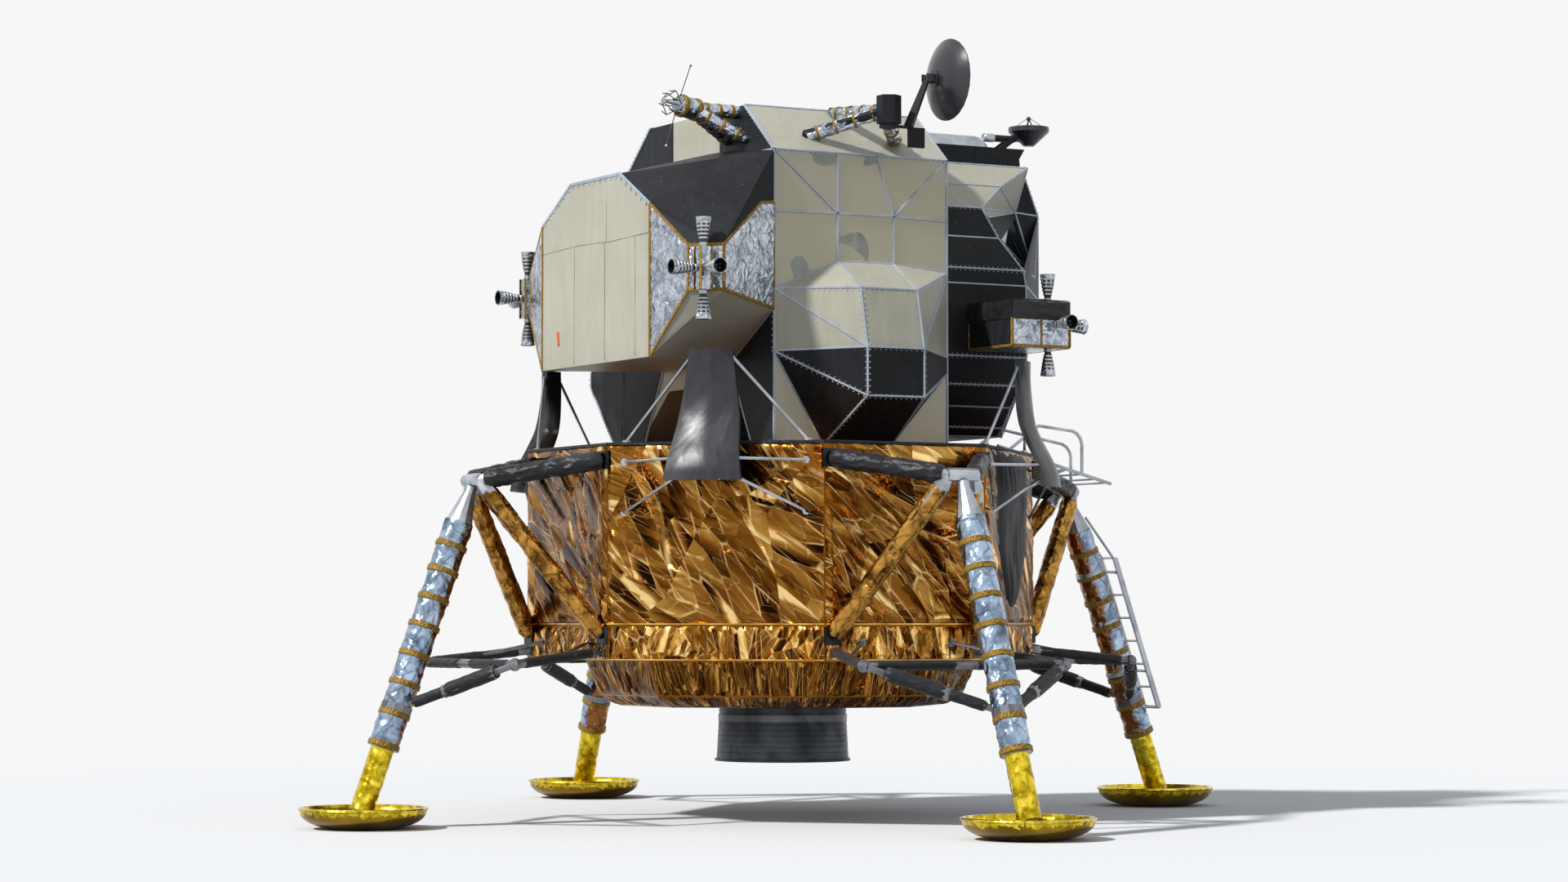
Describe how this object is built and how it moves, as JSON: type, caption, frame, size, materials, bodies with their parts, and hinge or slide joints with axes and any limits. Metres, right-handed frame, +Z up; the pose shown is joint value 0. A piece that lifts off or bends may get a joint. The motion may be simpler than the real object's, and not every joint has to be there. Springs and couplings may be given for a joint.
{
  "type": "lunar lander",
  "caption": "Two-stage crewed lander: faceted cabin on an octagonal foil-wrapped stage with four strutted legs, hatches and dishes that move.",
  "frame": {"origin": "on the floor under the centre of the descent stage", "axes": "+Z up, -Y forward towards the ladder, -X starboard, +X port"},
  "size_m": [9.4, 9.4, 6.976],
  "materials": {
    "gold_foil": "creased amber-gold foil",
    "pad_gold": "satin yellow-gold foil",
    "silver_foil": "crinkled silver foil",
    "bare_metal": "satin bare metal",
    "cream_panel": "satin riveted panel",
    "dark_panel": "satin riveted panel",
    "black_cloth": "matte wrapped cloth",
    "nozzle": "satin dark metal",
    "glass": "dark tinted glass"
  },
  "bodies": {
    "craft": {"descent_body": "gold_foil", "descent_band": "gold_foil", "descent_skirt": "gold_foil", "leg_aft_footpad": "pad_gold", "leg_aft_primary_strut": "silver_foil", "leg_aft_outrigger": "gold_foil", "leg_aft_secondary_struts": "black_cloth", "leg_aft_deployment_truss": "black_cloth", "leg_starboard_footpad": "pad_gold", "leg_starboard_primary_strut": "silver_foil", "leg_starboard_outrigger": "gold_foil", "leg_starboard_secondary_struts": "black_cloth", "leg_starboard_deployment_truss": "black_cloth", "leg_forward_footpad": "pad_gold", "leg_forward_primary_strut": "silver_foil", "leg_forward_outrigger": "gold_foil", "leg_forward_secondary_struts": "black_cloth", "leg_forward_deployment_truss": "black_cloth", "leg_port_footpad": "pad_gold", "leg_port_primary_strut": "silver_foil", "leg_port_outrigger": "gold_foil", "leg_port_secondary_struts": "black_cloth", "leg_port_deployment_truss": "black_cloth", "ladder": "bare_metal", "porch": "bare_metal", "stowage_cover": "black_cloth", "jet_deflector_aft_starboard": "dark_panel", "jet_cluster_aft_starboard": "nozzle", "jet_deflector_aft_port": "dark_panel", "jet_cluster_aft_port": "nozzle", "jet_deflector_forward_starboard": "dark_panel", "jet_cluster_forward_starboard": "nozzle", "jet_deflector_forward_port": "dark_panel", "jet_cluster_forward_port": "nozzle", "midsection": "cream_panel", "starboard_tank_bay": "cream_panel", "port_tank_bay": "dark_panel", "aft_equipment_bay": "cream_panel", "cabin_shell": "dark_panel", "cabin_face": "dark_panel", "window_glass_starboard": "glass", "window_glass_port": "glass", "docking_tunnel": "bare_metal", "ascent_engine_cover": "dark_panel", "roof_block": "dark_panel", "roof_fairing": "bare_metal", "radar_mount": "dark_panel", "sband_mount": "silver_foil", "vhf_antenna": "bare_metal"},
    "forward_hatch": {"forward_hatch": "dark_panel"},
    "overhead_hatch": {"overhead_hatch": "bare_metal"},
    "sband_arm": {"sband_arm": "dark_panel"},
    "sband_dish": {"sband_dish": "dark_panel"},
    "radar_gimbal": {"radar_gimbal": "dark_panel"},
    "radar_dish": {"radar_dish": "dark_panel"},
    "engine_gimbal_ring": {"engine_gimbal_ring": "bare_metal"},
    "engine_bell": {"engine_bell": "nozzle"}
  },
  "joints": [
    {"name": "forward_hatch_hinge", "type": "hinge", "parent": "craft", "child": "forward_hatch", "pos_m": [-0.42, -2.16313, 4.04007], "axis": [0, -0.3041, 0.9526], "range_deg": [0, 85]},
    {"name": "overhead_hatch_hinge", "type": "hinge", "parent": "craft", "child": "overhead_hatch", "pos_m": [0.46, 0, 6.1837], "axis": [0, -1, 0], "range_deg": [0, 80]},
    {"name": "sband_azimuth", "type": "hinge", "parent": "craft", "child": "sband_arm", "pos_m": [-1.75, -0.1, 6.3], "axis": [0, 0, 1], "range_deg": [-100, 20]},
    {"name": "sband_elevation", "type": "hinge", "parent": "sband_arm", "child": "sband_dish", "pos_m": [-1.75, -0.5, 6.61], "axis": [1, 0, 0], "range_deg": [-90, 15]},
    {"name": "radar_shaft", "type": "hinge", "parent": "craft", "child": "radar_gimbal", "pos_m": [-0.05, -2.47, 6.38], "axis": [1, 0, 0], "range_deg": [-5, 60]},
    {"name": "radar_trunnion", "type": "hinge", "parent": "radar_gimbal", "child": "radar_dish", "pos_m": [-0.05, -2.47, 6.38], "axis": [0, 1, 0], "range_deg": [-45, 45]},
    {"name": "engine_gimbal_roll", "type": "hinge", "parent": "craft", "child": "engine_gimbal_ring", "pos_m": [0, 0, 1.62], "axis": [0, 1, 0], "range_deg": [-6, 6]},
    {"name": "engine_gimbal_pitch", "type": "hinge", "parent": "engine_gimbal_ring", "child": "engine_bell", "pos_m": [0, 0, 1.62], "axis": [1, 0, 0], "range_deg": [-6, 6]}
  ]
}
